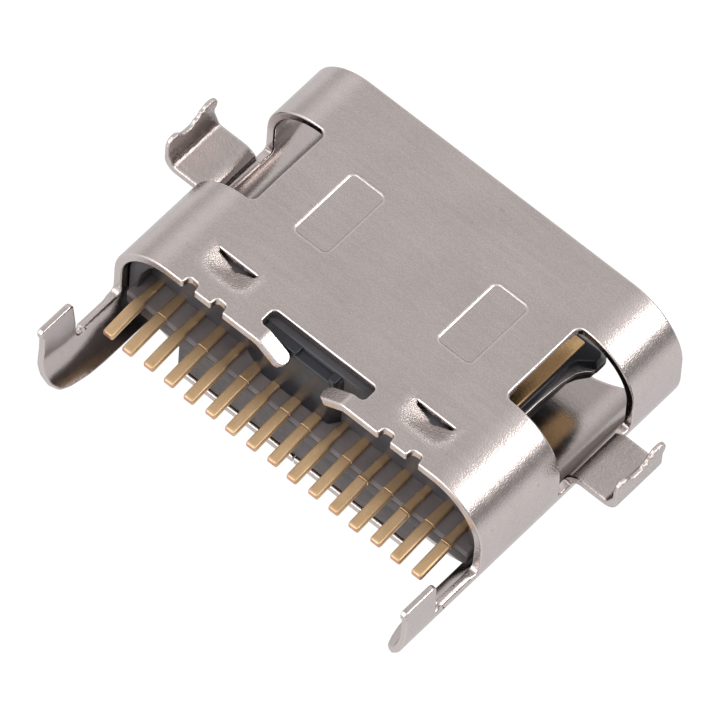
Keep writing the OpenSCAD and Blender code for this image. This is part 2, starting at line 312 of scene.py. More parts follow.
def steel_material(name, tint=(0.53, 0.477, 0.466), rough=0.17, grain=0.45):
    """Satin nickel over stamped steel: fine pebbled grain, faint rolling lines, dulled patches, and a painted highlight
    that makes the rounded edges and cut faces lighter.
    """
    m, nt, b = node_mat(name)
    b.inputs["Metallic"].default_value = 1.0
    b.inputs["Specular Tint"].default_value = (0.78, 0.77, 0.77, 1)
    fine = noise_tex(nt, 29000, 3.0, 0.6)
    lines = noise_tex(nt, 3200, 3.0, 0.6, (0.2, 2.2, 1.0))
    broad = noise_tex(nt, 900, 3.0, 0.5)
    spots = noise_tex(nt, 5200, 3.0, 0.62)
    # colour: slow cloudiness, a fine mottle and sparse darker specks
    cloud = ramp(nt, broad.outputs["Fac"], [(0.30, tuple(0.96 * c for c in tint)), (0.70, tuple(min(1.0, 1.03 * c) for c in tint))])
    speck = ramp(nt, spots.outputs["Fac"], [(0.24, (0.84, 0.84, 0.85)), (0.33, (1, 1, 1))])
    mott = ramp(nt, fine.outputs["Fac"], [(0.34, (0.91, 0.91, 0.91)), (0.66, (1.01, 1.01, 1.01))])
    roll = ramp(nt, lines.outputs["Fac"], [(0.36, (0.965, 0.965, 0.965)), (0.62, (1.0, 1.0, 1.0))])
    prev = cloud.outputs["Color"]
    for other in (speck, mott, roll):
        mul = nt.nodes.new("ShaderNodeMix")
        mul.data_type = "RGBA"
        mul.blend_type = "MULTIPLY"
        mul.inputs["Factor"].default_value = 1.0
        link(nt, prev, mul.inputs["A"])
        link(nt, other.outputs["Color"], mul.inputs["B"])
        prev = mul.outputs["Result"]
    # painted highlight: the rounded edges lighter and warmer, most midway round the rounding, half as much on the cut
    # faces
    at = nt.nodes.new("ShaderNodeAttribute")
    at.attribute_name = "edge"
    edge_painted_highlight = ramp(nt, at.outputs["Fac"], [(0.0, (0, 0, 0)), (0.5, (0.2, 0.2, 0.2)), (1.0, (0.1, 0.1, 0.1))])
    mix = nt.nodes.new("ShaderNodeMix")
    mix.data_type = "RGBA"
    link(nt, edge_painted_highlight.outputs["Color"], mix.inputs["Factor"])
    link(nt, prev, mix.inputs["A"])
    mix.inputs["B"].default_value = (0.74, 0.68, 0.64, 1)
    link(nt, mix.outputs["Result"], b.inputs["Base Color"])
    # roughness
    rr = ramp(nt, lines.outputs["Fac"], [(0.3, (rough - 0.02,) * 3), (0.7, (rough + 0.03,) * 3)])
    wk = nt.nodes.new("ShaderNodeAttribute")
    wk.attribute_name = "worked"
    link(nt, maths(nt, "ADD", rr.outputs["Color"], maths(nt, "MULTIPLY", wk.outputs["Fac"], 0.10)), b.inputs["Roughness"])
    # bump: pebbled grain and rolling lines
    bump1 = nt.nodes.new("ShaderNodeBump")
    bump1.inputs["Strength"].default_value = grain
    bump1.inputs["Distance"].default_value = 0.000012
    link(nt, fine.outputs["Fac"], bump1.inputs["Height"])
    bump2 = nt.nodes.new("ShaderNodeBump")
    bump2.inputs["Strength"].default_value = 0.12
    bump2.inputs["Distance"].default_value = 0.00001
    link(nt, lines.outputs["Fac"], bump2.inputs["Height"])
    link(nt, bump1.outputs["Normal"], bump2.inputs["Normal"])
    bump3 = nt.nodes.new("ShaderNodeBump")
    bump3.inputs["Strength"].default_value = 1.0
    bump3.inputs["Distance"].default_value = 0.00002
    link(nt, maths(nt, "MULTIPLY", fine.outputs["Fac"], wk.outputs["Fac"]), bump3.inputs["Height"])
    link(nt, bump2.outputs["Normal"], bump3.inputs["Normal"])
    link(nt, bump3.outputs["Normal"], b.inputs["Normal"])
    return m


def plastic_material(name, col=(0.038, 0.038, 0.046), rough=0.42, spec=0.25):
    m, nt, b = node_mat(name)
    b.inputs["Specular IOR Level"].default_value = spec
    n1 = noise_tex(nt, 9000, 3.0, 0.6)
    n2 = noise_tex(nt, 1400, 2.0, 0.5)
    c = ramp(nt, n2.outputs["Fac"], [(0.3, tuple(0.8 * v for v in col)), (0.75, tuple(1.35 * v for v in col))])
    link(nt, c.outputs["Color"], b.inputs["Base Color"])
    r = ramp(nt, n1.outputs["Fac"], [(0.3, (rough - 0.06,) * 3), (0.7, (rough + 0.08,) * 3)])
    link(nt, r.outputs["Color"], b.inputs["Roughness"])
    bp = nt.nodes.new("ShaderNodeBump")
    bp.inputs["Strength"].default_value = 0.25
    bp.inputs["Distance"].default_value = 0.000012
    link(nt, n1.outputs["Fac"], bp.inputs["Height"])
    link(nt, bp.outputs["Normal"], b.inputs["Normal"])
    return m


def gold_material(name, lo=(0.58, 0.39, 0.205), hi=(0.74, 0.51, 0.28), rough=0.46):
    m, nt, b = node_mat(name)
    b.inputs["Metallic"].default_value = 1.0
    n1 = noise_tex(nt, 7000, 4.0, 0.6, (1.0, 0.35, 1.0))
    n2 = noise_tex(nt, 21000, 2.0, 0.5)
    c = ramp(nt, n1.outputs["Fac"], [(0.3, lo), (0.7, hi)])
    link(nt, c.outputs["Color"], b.inputs["Base Color"])
    r = ramp(nt, n1.outputs["Fac"], [(0.3, (rough + 0.08,) * 3), (0.7, (rough - 0.04,) * 3)])
    link(nt, r.outputs["Color"], b.inputs["Roughness"])
    bp = nt.nodes.new("ShaderNodeBump")
    bp.inputs["Strength"].default_value = 0.2
    bp.inputs["Distance"].default_value = 0.00001
    link(nt, n2.outputs["Fac"], bp.inputs["Height"])
    link(nt, bp.outputs["Normal"], b.inputs["Normal"])
    return m


STEEL = steel_material("satin_nickel")
# the sheet's inner side: a darker copy of the nickel, painted shade inside the tube; it is also smoother, with finer
# grain
STEEL_INNER_PAINTED_SHADE = steel_material("inner_nickel_painted_shade", (0.46, 0.413, 0.402), 0.14, 0.15)
PLATE = steel_material("plain_steel", (0.50, 0.47, 0.455), 0.30)
BLACK = plastic_material("black_moulding", (0.011, 0.012, 0.017), 0.36, 0.38)
# lighter copy of the black moulding: painted light on the housing's back wall in the tube and on the cheeks
RECESS_PAINTED_LIGHT = plastic_material("recess_moulding_painted_light", (0.046, 0.044, 0.050), 0.45, 0.3)
# darker brownish copy of the black moulding: painted shade on the lower step and lower block under the tails
STEP_PAINTED_SHADE = plastic_material("step_moulding_painted_shade", (0.045, 0.037, 0.036), 0.45, 0.3)
# lighter brownish copy of the black moulding: painted light on the ledge under the tails
LEDGE_PAINTED_LIGHT = plastic_material("ledge_moulding_painted_light", (0.108, 0.093, 0.094), 0.5, 0.25)
GOLD = gold_material("gold_contact", (0.545, 0.375, 0.215), (0.68, 0.475, 0.285))
POLISHED = gold_material("gold_rubbed", (0.40, 0.26, 0.13), (0.50, 0.335, 0.17), 0.24)
COPPER = gold_material("cut_end", (0.50, 0.29, 0.19), (0.64, 0.40, 0.28), 0.42)


# ---------------------------------------------------------------- shell
TAB0, TAB1 = -0.25, 1.05                # side tab, in depth
SR = L2 + R * math.radians(8.65)        # where the tab leaves the side wall
B0 = math.radians(90 - 8.65)
C1 = (4.6826, 1.07)
W1 = 0.33 * B0
W2 = W1 + 5.2 - C1[0]
W3 = W2 + 0.2 * math.pi / 2


def s_tip(z):
    return SR - (W3 + z - 1.60)


HX, HR, HA = 1.07, 0.24, math.radians(31)   # hooks: start of the bend, outer radius, slope past the bend
HL = HR * HA


def dimple_rho(a, y):
    u = np.abs((a - 2.39) / 0.54)
    v = np.clip((-1.80 - y) / 0.50, 0, None)
    return (u ** 3.6 + v ** 3.6) ** (1 / 3.6)


def soft(x, e):
    return (x + np.sqrt(x * x + e * e)) / 2


def boxdist(a, y, x0, y0, x1, y1, r):
    qx = np.abs(a - (x0 + x1) / 2) - (x1 - x0) / 2 + r
    qy = np.abs(y - (y0 + y1) / 2) - (y1 - y0) / 2 + r
    return np.hypot(np.maximum(qx, 0), np.maximum(qy, 0)) + np.minimum(np.maximum(qx, qy), 0) - r


def tip_half(q):
    """Half the sheet's thickness: the tabs' tips are coined thinner."""
    a, y = np.abs(q[:, 0]), q[:, 1]
    k = np.clip((SR - a - W3 + 0.05) / 0.22, 0, 1)
    on = (y > TAB0 - 0.05) & (y < TAB1 + 0.12) & (a < SR - W3 + 0.06) & (a > 3.0)
    h = np.where(on, T / 2 - 0.045 * k * k * (3 - 2 * k), T / 2)
    k = np.clip((L2 - 0.25 - a) / 0.5, 0, 1)
    k = np.maximum(k * (a < L2), np.clip((-4.3 - y) / 0.4, 0, 1))
    return np.where((y < -3.9) & (a > L0), T / 2 - 0.03 * k, h)


def roll_over(q):
    """How far the cut edges are rolled over: most along the tops of the arms."""
    a, y = np.abs(q[:, 0]), q[:, 1]
    k = np.clip((-2.95 - y) / 0.12, 0, 1) * np.clip((y + 3.98) / 0.12, 0, 1) * ((a > L2 - 0.1) & (a < arc_s(14)))
    return 0.05 + 0.075 * k


EMB = (1.30, -0.59, 2.172, 1.138, 0.16)


def press(s, y):
    """How far the upper side is pressed in or stands out at a point of the flat sheet."""
    a = np.abs(s)
    d = np.zeros_like(a)
    on = (y < -1.775) & (y > -2.55) & (a > 1.6) & (a < 3.15)
    rho = dimple_rho(a, y)
    rr = np.sqrt(rho * rho + 0.05)
    g = 0.315 * (soft(1 - rr, 0.08) - soft(np.array(1 - 1.20), 0.08))
    d = np.where(on & (rho < 1.19), np.clip(g, 0, None), 0)
    e = boxdist(a, y, *EMB)
    k = np.clip(0.5 - e / 0.040, 0, 1)
    d = d + 0.025 * k * k * (3 - 2 * k)
    return -d


def lift_shell(q, ref=None):
    s, y = q[:, 0], q[:, 1]
    rs, ry = (s, y) if ref is None else (ref[:, 0], ref[:, 1])
    a, ra, sg = np.abs(s), np.abs(rs), np.where(rs < 0, -1.0, 1.0)
    n = len(s)
    x, z = np.zeros(n), np.zeros(n)
    nx, nz, tx, tz = (np.zeros(n) for _ in range(4))

    def put(mask, X, Z, NX, NZ, TX, TZ):
        x[mask], z[mask], nx[mask], nz[mask], tx[mask], tz[mask] = (np.broadcast_to(v, (n,))[mask] for v in (X, Z, NX, NZ, TX, TZ))

    p1 = (a - L0) / R
    p2 = (a - L2) / R
    put(ra <= L0, a, H, 0, 1, 1, 0)
    put((ra > L0) & (ra <= L1), CX + R * np.sin(p1), H - R + R * np.cos(p1), np.sin(p1), np.cos(p1), np.cos(p1), -np.sin(p1))
    put((ra > L1) & (ra <= L2), CX + R, H - R - (a - L1), 1, 0, 0, -1)
    put((ra > L2) & (ra <= L3), CX + R * np.cos(p2), R - R * np.sin(p2), np.cos(p2), -np.sin(p2), -np.sin(p2), -np.cos(p2))
    put(ra > L3, CX - (a - L3), 0, 0, -1, -1, 0)
    leg = (ry < -3.4) & (ra < L2)
    put(leg, CX + R, R + (L2 - a), 1, 0, 0, -1)
    # hooks
    w = HX - a
    ps = np.clip(w / HR, 0, HA)
    hk = (ry < -2.30) & (ra < HX)
    dn = np.clip(w - HL, 0, None)
    put(hk, HX - HR * np.sin(ps) - dn * math.cos(HA), H - HR + HR * np.cos(ps) - dn * math.sin(HA), -np.sin(ps), np.cos(ps), np.cos(ps), np.sin(ps))
    mx, mz = x - nx * T / 2, z - nz * T / 2
    # side tabs
    w = SR - a
    tb = (ry > TAB0 - 0.18) & (ry < TAB1 + 0.18) & (ra < SR) & (ra > 3.6)
    b = np.clip(w / 0.33, 0, B0)
    an = B0 - b                                          # direction of travel above the horizontal
    a2 = np.clip((w - W2) / 0.2, 0, math.pi / 2)
    an = np.where(w > W2, a2, an)
    NX, NZ, TX, TZ = np.sin(an), -np.cos(an), np.cos(an), np.sin(an)
    MX = np.where(w <= W1, C1[0] - 0.33 * NX, np.where(w <= W2, C1[0] + (w - W1), np.where(w <= W3, 5.2 + 0.2 * NX, 5.4)))
    MZ = np.where(w <= W1, C1[1] - 0.33 * NZ, np.where(w <= W2, 1.40, np.where(w <= W3, 1.6 + 0.2 * NZ, 1.6 + (w - W3))))
    mx, mz = np.where(tb, MX, mx), np.where(tb, MZ, mz)
    nx, nz = np.where(tb, NX, nx), np.where(tb, NZ, nz)
    tx, tz = np.where(tb, -TX, tx), np.where(tb, -TZ, tz)
    # pressed marks, on the flat upper side only
    flat = (ra < L0) & ~hk & ~tb & ~leg
    h = 1e-3
    dv = np.where(flat, press(s, y), 0)
    gs = np.where(flat, (press(s + h, y) - press(s - h, y)) / (2 * h), 0)
    gy = np.where(flat, (press(s, y + h) - press(s, y - h)) / (2 * h), 0)
    mid = np.stack([mx * sg, y, mz + dv], 1)
    nn = np.stack([nx * sg, np.zeros(n), nz], 1)
    tt = np.stack([tx, np.zeros(n), tz * sg], 1)
    nn = nn - gs[:, None] * tt - gy[:, None] * np.array([0, 1.0, 0])
    nn /= np.linalg.norm(nn, axis=1)[:, None]
    ty = np.tile([0.0, 1.0, 0.0], (n, 1)) + gy[:, None] * np.array([0, 0, 1.0])
    ty /= np.linalg.norm(ty, axis=1)[:, None]
    return mid, nn, tt, ty


def arc_s(theta):
    """Place on the lower round side, in degrees below the horizontal."""
    return L2 + R * math.radians(theta)


g = 0.012
rear = [  # right half of the rear edge, from the middle outward
    (1.235, -2.07, 0.10), (1.235, -2.44, 0.17), (HX - 0.02, -2.44, 0), (HX - HL - 0.63, -2.43, 0.17), (HX - HL - 0.63, -2.79, 0.17),
    (1.885, -2.79, 0.05), (1.915, -2.62, 0.08), (2.135, -2.60, 0.08), (2.165, -2.79, 0.05),
    (2.565, -2.79, 0.05), (2.59, -2.62, 0.08), (2.81, -2.60, 0.08), (2.84, -2.79, 0.05),
    (3.17, -2.79, 0), (4.2, -2.79, 0), (L1, -2.79, 0), (arc_s(5.7), -2.79, 0.12),
    (arc_s(5.7), -3.80, 0.05), (arc_s(9.0), -3.86, 0.06), (arc_s(9.0), -3.96, 0.05), (L2 - 0.10, -4.00, 0.10), (L2 - (2.17 - R), -4.02, 0.13),
    (L2 - (2.17 - R), -4.83, 0.05), (L2 - (2.12 - R), -4.90, 0.04), (L2 - (1.98 - R), -4.895, 0.04), (L2 - (1.94 - R), -4.845, 0.05),
    (L2 - (1.50 - R), -4.835, 0.3), (arc_s(2), -4.85, 0.2), (arc_s(12), -4.89, 0.1), (arc_s(24), -4.895, 0.12), (arc_s(38), -4.84, 0.2), (arc_s(47), -4.72, 0.15),
    (arc_s(50.5), -4.52, 0.2), (arc_s(54), -4.07, 0.3), (arc_s(55), -3.7, 0), (arc_s(55), -2.36, 0.10),
    (L3 + CX - 2.72, -2.36, 0.10), (L3 + CX - 2.72, -2.80, 0.06)]
front = [  # right half of the front edge, from the seam outward
    (L4 - 2.9, 2.25, 0.3), (arc_s(70.7), 2.48, 0.4), (arc_s(43), 2.79, 0.4), (L1, 2.79, 0), (L0, 2.79, 0)]
K0 = L4 - 0.42
right_seam = [(L4 - g, -2.80, 0.02), (L4 - g, -1.0, 0.04), (K0 - g, -1.18, 0.05), (K0 - g, 0.38, 0.05), (L4 - g, 0.20, 0.04), (L4 - g, 2.25, 0.02)]
K1 = -(L4 + 0.42)
left_seam = [(-(L4 - g), 2.25, 0.02), (-(L4 - g), 0.20 + 0.0, 0.04), (K1 + g, 0.38 - 0.024, 0.05), (K1 + g, -1.18 + 0.024, 0.05), (-(L4 - g), -1.0 + 0.0, 0.04), (-(L4 - g), -2.80, 0.02)]


def mirror(pts):
    return [(-p[0], *p[1:]) for p in reversed(pts)]


outline = mirror(rear) + rear + right_seam + front + mirror(front) + left_seam
relief = arc_s(6.6)
window = [(3.065, -0.61, 0.14), (3.065, 1.41, 0.14), (4.4, 1.41, 0), (relief, 1.41, 0.10), (relief, TAB1, 0.09),
          (SR - 0.12, TAB1, 0)]
tip = [(-0.25, 1.98), (-0.20, 2.10), (-0.10, 2.165), (0.02, 2.15), (0.10, 2.07), (0.17, 1.99), (0.27, 1.955), (0.42, 1.945), (0.475, 1.965), (0.52, 2.02),
       (0.585, 2.025), (0.635, 2.055), (0.675, 2.125), (0.75, 2.14), (0.80, 2.18), (0.88, 2.195), (0.99, 2.185), (1.08, 2.13), (1.12, 2.04), (1.105, 1.94), (1.05, 1.86)]
window += [(s_tip(z), y, 0.02) for y, z in reversed(tip)]
window += [(SR - 0.12, TAB0, 0), (relief, TAB0, 0.09), (relief, -0.61, 0.10), (4.4, -0.61, 0)]
slit = [(1.935, -1.800, 0.015), (1.935, -1.762, 0.015), (2.845, -1.762, 0.015), (2.845, -1.800, 0.015)]
loops = [resample(fillet(outline), 0.075)]
for hole in (window, slit):
    loops.append(resample(fillet(hole), 0.05))
    loops.append(resample(fillet(mirror(hole)), 0.05))

# inner points: lines along the depth, close together on the bends
ss = list(np.arange(0, L0, 0.17)) + list(np.linspace(L0, L1, 34)) + list(np.linspace(L1, L2, 4)[1:-1]) + list(np.linspace(L2, L3, 34)) + list(np.arange(L3 + 0.2, L4 + 0.5, 0.2))
ys = np.arange(-2.72, 2.76, 0.136)
pts = [(s, y) for s in ss for y in ys]
pts += [(s, y) for s in list(np.linspace(L2, arc_s(55), 24)) for y in np.arange(-4.84, -2.75, 0.136)]
pts += [(s, y) for s in np.arange(4.9, L2, 0.14) for y in np.arange(-4.84, -3.9, 0.136)]
tabs = list(np.linspace(SR, SR - W1, 14)) + list(np.linspace(SR - W1, SR - W2, 5)[1:-1]) + list(np.linspace(SR - W2, SR - W3, 10)) + list(np.arange(SR - W3 - 0.1, SR - W3 - 0.6, -0.1))
keep = [(s, y) for (s, y) in pts if not (TAB0 - 0.1 < y < TAB1 + 0.1 and 3.6 < s < SR + 0.02)]
keep += [(s, y) for s in tabs for y in np.linspace(TAB0 + 0.06, TAB1 - 0.06, 11)]
keep += [(s, y) for s in list(np.linspace(HX, HX - HL, 9)) + [HX - HL - 0.01, 0.80, 0.68, 0.56, 0.44] for y in np.arange(-2.75, -2.44, 0.06)]
pts = np.array(keep)
pts = np.concatenate([pts[pts[:, 0] > 1e-6], pts[pts[:, 0] > 1e-6] * [-1, 1], pts[np.abs(pts[:, 0]) <= 1e-6]])
extra = []
for k in (1.16, 1.08, 1.0, 0.92, 0.82, 0.68, 0.5, 0.3, 0.12):
    t = np.linspace(0.0, math.pi, 41)
    c, s_ = np.cos(t), np.sin(t)
    u = np.sign(c) * np.abs(c) ** (2 / 3.6) * k
    v = np.abs(s_) ** (2 / 3.6) * k
    line = np.stack([u * 0.54 + 2.39, -1.80 - 0.50 * v], 1)
    extra += [line, line * [-1, 1]]
for d in (0.055, 0.0225, 0.012, 0.0, -0.012, -0.0225, -0.055):
    x0, y0, x1, y1, rr = EMB
    q = resample(fillet([(x0 - d, y0 - d, rr + d), (x1 + d, y0 - d, rr + d), (x1 + d, y1 + d, rr + d), (x0 - d, y1 + d, rr + d)], 8), 0.09)
    q = np.concatenate([q, q[:1]])
    extra += [q, q * [-1, 1]]
V, F, N, E, FM = sheet(loops, pts, lift_shell, T / 2, 0.05, extra, cut=4, r2=0.03, thick=tip_half, roll=roll_over)
A = np.abs(V[:, 0])
# where the metal was worked hardest: the pressed catches and the tabs' bends
WK = np.clip((1.22 - dimple_rho(A, V[:, 1])) / 0.25, 0, 1) * ((V[:, 1] < -1.77) & (V[:, 2] > 2.3) & (A < 3.2))
WK = np.maximum(WK, 0.5 * np.clip((A - 4.45) / 0.15, 0, 1) * (V[:, 1] > -0.4) * (V[:, 1] < 1.3))
# the inner faces take the darker copy of the nickel: painted shade inside the tube
shell = make("shell_sheet", V, F, [STEEL, STEEL_INNER_PAINTED_SHADE], N, E, "shell", FM, WK)

# ---------------------------------------------------------------- mouldings, plate and contacts
MZ = H / 2
TT, TX, TX1, TY = 0.70, 3.345, 3.00, 2.10           # tongue: thickness, half widths at the nose and behind it, front
Z0, Z1 = MZ - TT / 2, MZ + TT / 2


def loft(layers, closed=True):
    """Closed skin through loops of equal length, given from one end to the other, with flat ends."""
    n = len(layers[0])
    v = [tuple(p) for l in layers for p in l]
    f = []
    for k in range(len(layers) - 1):
        for i in range(n):
            j = (i + 1) % n
            f.append((k * n + i, k * n + j, (k + 1) * n + j, (k + 1) * n + i))
    f.append(tuple(reversed(range(n))))
    f.append(tuple((len(layers) - 1) * n + i for i in range(n)))
    return v, f


def rounded(levels, axis, r, seg=4):
    """Layers of a prism whose two end edges are rounded. levels: (loop, place) pairs; axis: 1 for depth, 2 for height."""
    out = []
    lo, hi = levels[0], levels[-1]
    sg = 1.0 if hi[1] > lo[1] else -1.0

    def add(loop, at):
        loop = np.asarray(loop)
        if axis == 2:
            out.append([(p[0], p[1], at) for p in loop])
        else:
            out.append([(p[0], at, p[1]) for p in loop])

    def inset(loop, d):
        m, k = inward(np.asarray(loop))
        return loop + m * (d * k)[:, None]

    for j in range(seg + 1):
        t = math.pi / 2 * j / seg
        add(inset(lo[0], r * (1 - math.sin(t))), lo[1] + sg * r * (1 - math.cos(t)))
    for l, at in levels[1:-1]:
        add(l, at)
    for j in range(seg, -1, -1):
        t = math.pi / 2 * j / seg
        add(inset(hi[0], r * (1 - math.sin(t))), hi[1] - sg * r * (1 - math.cos(t)))
    return out


def outward(v, f):
    """Turns the faces so that they look out of the closed skin."""
    v = np.asarray(v)
    vol = 0.0
    for q in f:
        p = v[list(q)]
        for k in range(1, len(q) - 1):
            vol += float(np.dot(p[0], np.cross(p[k], p[k + 1])))
    return f if vol > 0 else [tuple(reversed(q)) for q in f]


def solid(name, parts, mats, node, angle=42, marks=None):
    v, f, fm = [], [], []
    for k, (pv, pf) in enumerate(parts):
        pf = outward(pv, pf)
        base = len(v)
        v += list(pv)
        f += [tuple(base + i for i in q) for q in pf]
        fm += [marks[k] if marks else 0] * len(pf)
    ob = make(name, v, f, mats, node=node, face_mat=fm)
    ob.data.set_sharp_from_angle(angle=math.radians(angle))
    return ob


def block(x0, y0, z0, x1, y1, z1, r, corner=0.0, axis=2):
    c = max(corner, 1e-3)
    if axis == 2:
        loop = fillet([(x0, y0, c), (x1, y0, c), (x1, y1, c), (x0, y1, c)], 5)
        return loft(rounded([(loop, z0), (loop, z1)], 2, r))
    loop = fillet([(x0, z0, c), (x1, z0, c), (x1, z1, c), (x0, z1, c)], 5)
    return loft(rounded([(loop, y0), (loop, y1)], 1, r))


def tongue_loop(back=0.0, side=0.0, x1=TX1):
    """Plan of the tongue, its front set back and its nose narrowed."""
    x, y = TX - side, TY - back
    half = [(x1, -1.9, 0.02), (x1, 1.27, 0.10), (x1 + 0.07, 1.45, 0.08), (x, 1.68, 0.08), (x, y, 0.34)]
    return fillet(half + [(-p[0], *p[1:]) for p in reversed(half)], 6, True)


up = [(tongue_loop(), MZ + 0.03), (tongue_loop(), MZ + 0.10), (tongue_loop(0.03, 0.0), MZ + 0.15), (tongue_loop(0.20, 0.02), Z1)]
low = [(tongue_loop(), MZ - 0.03), (tongue_loop(), MZ - 0.07), (tongue_loop(0.03, 0.03), MZ - 0.12), (tongue_loop(0.32, 0.11), Z0)]
solid("insert_upper_moulding", [loft(rounded(up, 2, 0.035))], [BLACK], "insert_upper")
solid("insert_lower_moulding", [loft(rounded(low, 2, 0.035))], [BLACK], "insert_lower")

half = [(3.05, -1.80, 0.02), (3.025, 0.38, 0.5), (3.06, 1.00, 0.3), (3.12, 1.36, 0.15), (3.22, 1.52, 0.1), (3.315, 1.60, 0.08),
        (3.315, 1.90, 0.1), (3.20, 2.04, 0.08)]
plate = fillet(half + [(-p[0], *p[1:]) for p in reversed(half)], 5)
solid("mid_plate_sheet", [loft(rounded([(plate, MZ - 0.05), (plate, MZ + 0.05)], 2, 0.018, 3))], [PLATE], "mid_plate")

# housing: body in the tube, ledge under the tails, lower block, and the block behind the rear slot
q = T + 0.02
body = fillet([(W / 2 - q, q, R - q), (W / 2 - q, H - q, R - q), (-W / 2 + q, H - q, R - q), (-W / 2 + q, q, R - q)], 16)
YF, YB, YL = -2.22, -1.15, -2.79
parts = [loft(rounded([(body, YB), (body, YF)], 1, 0.04))]
ledge = fillet([(-4.14, 1.26, 0.03), (4.14, 1.26, 0.03), (4.14, 1.425, 0.05), (-4.14, 1.425, 0.05)], 6)
under = fillet([(-4.12, 0.97, 0.20), (4.12, 0.97, 0.20), (4.14, 1.30, 0.03), (-4.14, 1.30, 0.03)], 6)
parts.append(loft(rounded([(ledge, YF + 0.1), (ledge, YL)], 1, 0.045)))
parts.append(loft(rounded([(under, YF + 0.1), (under, YL + 0.012)], 1, 0.03)))
parts.append(block(-2.87, YL + 0.04, q, 2.87, YF + 0.1, 1.10, 0.03, 0.04, 1))
blk = fillet([(-1.66, YF + 0.12, 0.02), (-1.66, YF - 0.02, 0.05), (-1.15, -2.44, 0.12), (0.45, -2.44, 0.12), (0.59, YF - 0.02, 0.05), (0.59, YF + 0.12, 0.02)], 5)
parts.append(loft(rounded([(blk, 1.32), (blk, 2.80)], 2, 0.05)))
# raised rim round the pocket in the top of the block
for x0, y0, x1, y1 in ((-1.60, -2.42, -0.40, -2.14), (0.36, -2.42, 0.54, -2.14), (-0.50, -2.20, 0.46, -2.14)):
    parts.append(block(x0, y0, 2.70, x1, y1, 2.88, 0.025, 0.05))
# cheeks inside the round sides
arc = [(CX + (R - q) * math.sin(t), H - R + (R - q) * math.cos(t)) for t in np.linspace(math.radians(22), math.radians(90), 12)]
arc += [(CX + (R - q) * math.cos(t), R - (R - q) * math.sin(t)) for t in np.linspace(0, math.radians(8), 3)]
inner = [(4.04, 1.12), (4.02, 1.60), (3.96, 1.95), (3.80, 2.30), (3.56, 2.60)]
for sg in (1, -1):
    loop = np.array([(sg * x, z) for x, z in arc + inner])
    if sg > 0:
        loop = loop[::-1]
    parts.append(loft(rounded([(loop, YF + 0.1), (loop, -2.60)], 1, 0.03)))
# one black moulding in lit and shaded copies: painted light on the back wall, cheeks and ledge, painted shade on the
# lower step and lower block
solid("housing_moulding", parts, [BLACK, LEDGE_PAINTED_LIGHT, RECESS_PAINTED_LIGHT, STEP_PAINTED_SHADE], "housing", marks=[2, 1, 3, 3] + [0] * 4 + [2] * 2)

PITCH = 0.5
ROWS = [("a1", 1, -5.5), ("b12", -1, -5.5), ("a4", 1, -2.5), ("b9", -1, -2.5), ("b8", -1, -1.5), ("a5", 1, -1.5), ("b7", -1, -0.5), ("a6", 1, -0.5),
        ("a7", 1, 0.5), ("b6", -1, 0.5), ("a8", 1, 1.5), ("b5", -1, 1.5), ("b4", -1, 2.5), ("a9", 1, 2.5), ("b1", -1, 5.5), ("a12", 1, 5.5)]


def section(hw, ht, rt, rb):
    """Rounded cross-section, round the loop: (across, up)."""
    return fillet([(hw, -ht, rb), (hw, ht, rt), (-hw, ht, rt), (-hw, -ht, rb)], 4, True)


